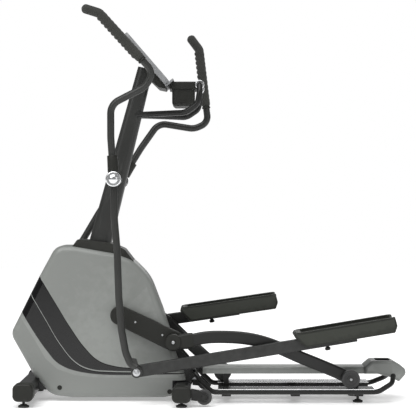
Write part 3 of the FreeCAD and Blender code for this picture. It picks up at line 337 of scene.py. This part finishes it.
gl = sweep("left_foam_grip", path, grip_r, MATS["foam"], 56, ridge=(-0.74, 0, -0.67))
gr = mirrored(gl, "right_foam_grip"); turned(gr, DD, H)
rep(gl, "left_grip", "left_handlebar"); rep(gr, "right_grip", "right_handlebar")
# ring where the foam ends on the tube
for n_, sg in (("left", 1), ("right", -1)):
    d = (gp[1] - gp[0]).normalized()
    c = lathe(n_ + "_grip_collar", [(0.0157, 0.0), (0.0188, 0.0005), (0.0196, 0.002), (0.0196, 0.006), (0.0186, 0.0085), (0.0157, 0.0095)], gp[0] - d * 0.010, d, MATS["black_plastic"], 56)
    if sg < 0: m_ = mirrored(c, "tmp"); bpy.data.objects.remove(c); m_.name = n_ + "_grip_collar"; c = m_; turned(c, DD, H)
    add(c, n_ + "_handlebar")

# ------------------------------------------------------------------ pedals: ribbed mats, rolled rims and knobs
LS = 625.0631408
def loc2(x, z, S, G):
    g = math.radians(G); return (S[0] + x * math.cos(g) - z * math.sin(g), S[1] + x * math.sin(g) + z * math.cos(g))
SIDES = {"left": (-1, (-305.0, 147.5), 9.326696882), "right": (1, (-803.3986795, 244.4842847), 8.321252020)}

def ribbed_mat(name, side, S, G):
    """rubber mat with rows of raised chevron ribs and a rolled rim"""
    x0, x1, y0, y1 = LS + 106, LS + 478, 95.0, 235.0
    nx, ny = 186, 70
    vs, fs = [], []
    def hgt(i, j):
        x = x0 + (x1 - x0) * i / nx; y = y0 + (y1 - y0) * j / ny
        ed = min(x - x0, x1 - x, y - y0, y1 - y)
        if ed < 1.0: return 34.2
        if ed < 9.0: return 36.9 + 1.3 * math.sin(min(1, (ed - 1) / 8) * math.pi)
        ph = (x + abs(y - 165) * 0.35) / 15.0
        w_ = ph - math.floor(ph)
        r = 1.9 if w_ < 0.42 else 0.0
        if abs(y - 165) < 3.0: r = 0.0
        return 36.4 + r
    corner = 14.0
    for i in range(nx + 1):
        for j in range(ny + 1):
            x = x0 + (x1 - x0) * i / nx; y = y0 + (y1 - y0) * j / ny
            # round the corners of the outline
            cx_ = min(max(x, x0 + corner), x1 - corner); cy_ = min(max(y, y0 + corner), y1 - corner)
            dx, dy = x - cx_, y - cy_; r_ = math.hypot(dx, dy)
            if r_ > 0:
                m = max(abs(dx), abs(dy)); x, y = cx_ + dx * m / r_, cy_ + dy * m / r_
            X_, Z_ = loc2(x, hgt(i, j), S, G); vs.append(mm(X_, side * y, Z_))
    for i in range(nx):
        for j in range(ny):
            a = i * (ny + 1) + j; fs.append((a, a + 1, a + ny + 2, a + ny + 1))
    top = len(vs)
    ring = [(i, 0) for i in range(nx + 1)] + [(nx, j) for j in range(1, ny + 1)] + [(i, ny) for i in range(nx - 1, -1, -1)] + [(0, j) for j in range(ny - 1, 0, -1)]
    for (i, j) in ring:
        v = vs[i * (ny + 1) + j]; g = math.radians(G); vs.append(v - V((-math.sin(g), 0, math.cos(g))) * 0.0001)
    fs.append(tuple(range(top, top + len(ring))))
    for k in range(len(ring)):
        a, b = ring[k], ring[(k + 1) % len(ring)]
        fs.append((a[0] * (ny + 1) + a[1], b[0] * (ny + 1) + b[1], top + (k + 1) % len(ring), top + k))
    return mesh(name, vs, fs, MATS["mat_rubber"], False)
for n_, (sd, S, G) in SIDES.items():
    m_ = ribbed_mat(n_ + "_ribbed_mat", sd, S, G); rep(m_, n_ + "_pedal_mat", n_ + "_pedal_arm")

def ring_sweep(name, path, hw, hh, up, mat, n=20):
    """a closed, rounded bead along a closed path, 2*hw wide and 2*hh high"""
    vs, fs, N_ = [], [], len(path)
    for i, p in enumerate(path):
        t = (path[(i + 1) % N_] - path[i - 1]).normalized(); v = t.cross(up).normalized(); u = v.cross(t)
        for k in range(n):
            a = 2 * math.pi * k / n; vs.append(p + v * math.cos(a) * hw + u * math.sin(a) * hh)
    for i in range(N_):
        j = (i + 1) % N_
        for k in range(n):
            m = (k + 1) % n; fs.append((i * n + k, i * n + m, j * n + m, j * n + k))
    return mesh(name, vs, fs, mat)
def pedal_rim(n_, side, S, G):
    """rolled rim round the tray, which dips at the heel where the foot steps on"""
    x0, x1, y0, y1, r = LS + 78.0, LS + 499.0, 84.5, 245.5, 17.0
    pts = []
    def side_run(a, b, k):
        for i in range(k): f = i / k; pts.append((a[0] + (b[0] - a[0]) * f, a[1] + (b[1] - a[1]) * f))
    def arc(c, a0, k=9):
        for i in range(k): a = math.radians(a0 + 90 * i / k); pts.append((c[0] + r * math.cos(a), c[1] + r * math.sin(a)))
    side_run((x0 + r, y0), (x1 - r, y0), 60); arc((x1 - r, y0 + r), -90); side_run((x1, y0 + r), (x1, y1 - r), 30)
    arc((x1 - r, y1 - r), 0); side_run((x1 - r, y1), (x0 + r, y1), 60); arc((x0 + r, y1 - r), 90); side_run((x0, y1 - r), (x0, y0 + r), 22); arc((x0 + r, y0 + r), 180)
    out = []
    for x, y in pts:
        z = 51.0
        if x > x1 - 1.0:                     # along the heel
            e = min(y - y0, y1 - y); f = max(0.0, min(1.0, (e - 15.0) / 12.0)); f = f * f * (3 - 2 * f); z = 51.0 - 12.0 * f
        X_, Z_ = loc2(x, z, S, G); out.append(mm(X_, side * y, Z_))
    g = math.radians(G)
    return ring_sweep(n_ + "_pedal_rim", out, 0.0068, 0.0036, V((-math.sin(g), 0, math.cos(g))), MATS["pedal_plastic"])
for n_, (sd, S, G) in SIDES.items():
    add(pedal_rim(n_, sd, S, G), n_ + "_pedal_arm")
    X_, Z_ = loc2(LS + 200, -25.5, S, G); g = math.radians(G)
    k_ = lathe(n_ + "_pedal_knob", [(0.004, 0.0), (0.0072, 0.0004), (0.0072, 0.0038), (0.0112, 0.0052), (0.0120, 0.0070), (0.0120, 0.0140), (0.0110, 0.0164), (0.0080, 0.0177), (0.002, 0.0180)], mm(X_, sd * 212.0, Z_), (math.sin(g), 0, -math.cos(g)), MATS["black_plastic"], 36)
    add(k_, n_ + "_pedal_arm")

# ------------------------------------------------------------------ fasteners and small trim
def screw(name, origin, axis, body, r=0.0065, slot="steel", hexr=0.45):
    """domed button head with a hexagon socket"""
    ax = V(axis).normalized(); u = ax.orthogonal().normalized(); v = ax.cross(u); n = 36; vs, fs = [], []
    def ring(rad, h, hexa=False):
        b = len(vs)
        for i in range(n):
            a = 2 * math.pi * i / n; rr = rad
            if hexa: rr = rad * math.cos(math.pi / 6) / math.cos((a % (math.pi / 3)) - math.pi / 6)
            vs.append(V(origin) + ax * h + (u * math.cos(a) + v * math.sin(a)) * rr)
        return b
    H_ = r * 0.62
    rs = [ring(r, 0), ring(r, H_ * 0.35), ring(r * 0.93, H_ * 0.68), ring(r * 0.75, H_ * 0.93), ring(r * hexr * 1.12, H_), ring(r * hexr, H_ * 0.96, True), ring(r * hexr, H_ * 0.35, True)]
    for a, b in zip(rs, rs[1:]):
        for i in range(n):
            k = (i + 1) % n; fs.append((a + i, a + k, b + k, b + i))
    fs.append(tuple(range(rs[0], rs[0] + n))[::-1]); fs.append(tuple(range(rs[-1], rs[-1] + n)))
    o = mesh(name, vs, fs, MATS[slot], False); return add(o, body)
P = {"left": ((-150.3278, 269.0671), -12.00827), "right": ((-619.6722, 492.9329), -29.46791)}
W = {"left": (621.0, 105.0), "right": (66.8937, 105.0)}
CA = {"left": -25.5, "right": 154.5}
for n_, (sd, S, G) in SIDES.items():
    (px, pz), B = P[n_]
    screw(n_ + "_crank_pin_bolt", mm(px, sd * 193.0, pz), (0, sd, 0), n_ + "_roller_arm", 0.0072)
    screw(n_ + "_lower_pivot_bolt", mm(S[0], sd * 260.2, S[1]), (0, sd, 0), n_ + "_handlebar", 0.0100)
    lathe_o = lathe(n_ + "_lower_pivot_washer", [(0.009, -0.0008), (0.0158, -0.0006), (0.0162, 0.0002), (0.0162, 0.0014), (0.0155, 0.002), (0.009, 0.002)], mm(S[0], sd * 258.6, S[1]), (0, sd, 0), MATS["steel"], 40)
    add(lathe_o, n_ + "_handlebar")
    screw(n_ + "_wheel_bolt", mm(W[n_][0], sd * 158.0, W[n_][1]), (0, sd, 0), n_ + "_roller_carriage", 0.0058)
    for i_, xx in enumerate((74, 205)):
        X_, Z_ = loc2(xx, 4, (-385.0, 381.0), CA[n_])
        screw("%s_crank_cover_screw_%d" % (n_, i_), mm(X_, sd * 136.0, Z_), (0, sd, 0), "crank", 0.0046)
# plastic sleeve over the joint above each pivot, and the domed cap on the pivot
for n_, sd in (("left", -1), ("right", 1)):
    ax_ = V((-0.064, 0, 1)).normalized()
    c = lathe(n_ + "_pivot_sleeve", [(0.0150, 0.0), (0.0236, 0.0004), (0.0243, 0.0024), (0.0243, 0.0100), (0.0232, 0.0400), (0.0228, 0.0690), (0.0220, 0.0712), (0.0150, 0.0716)], mm(-404.4, -246.0, 1003.0), ax_, MATS["black_plastic"], 56)
    if sd > 0: m_ = mirrored(c, "tmp2"); bpy.data.objects.remove(c); m_.name = n_ + "_pivot_sleeve"; c = m_; turned(c, DD, H)
    add(c, n_ + "_handlebar")
    d_ = lathe(n_ + "_pivot_dome", [(0.0196, -0.0006), (0.0196, 0.0006), (0.0190, 0.0018), (0.0172, 0.0036), (0.0142, 0.0055), (0.0102, 0.0070), (0.0056, 0.0079), (0.0012, 0.0082)], mm(-403.0, sd * 278.0, 973.0), (0, sd, 0), MATS["chrome"], 64)
    for q in d_.data.polygons: q.use_smooth = len(q.vertices) == 4
    add(d_, n_ + "_handlebar")
# dark countersink discs at the shroud screw holes: painted shade in the holes
for n_, sd in (("left", -1), ("right", 1)):
    for i_, (sx_, sz_) in enumerate(((-650, 62), (-168, 44))):
        o = lathe("%s_shroud_hole_shade_%d" % (n_, i_), [(0.0105, -0.0006), (0.0105, 0.0008), (0.0096, 0.0016), (0.0080, 0.0013), (0.0074, 0.0009), (0.0030, 0.0008)], mm(sx_, sd * 94.6, sz_), (0, sd, 0), MATS["black_plastic"], 40)
        add(o, "frame")

# the floor
bpy.ops.mesh.primitive_plane_add(size=24, location=(0, 0, 0)); fl = bpy.context.object; fl.name = "floor"
s = N("pale_floor"); s.done(s.mix(s.rng(s.noise(1.2, 3), 0, 1, 0.3, 0.7), (0.93, 0.93, 0.93), (0.96, 0.96, 0.96)), s.rng(s.noise(4, 3), 0.5, 0.6), 0.0, None, Emission_Strength=0.3, Emission_Color=(1, 1, 1, 1))
fl.data.materials.append(s.m)
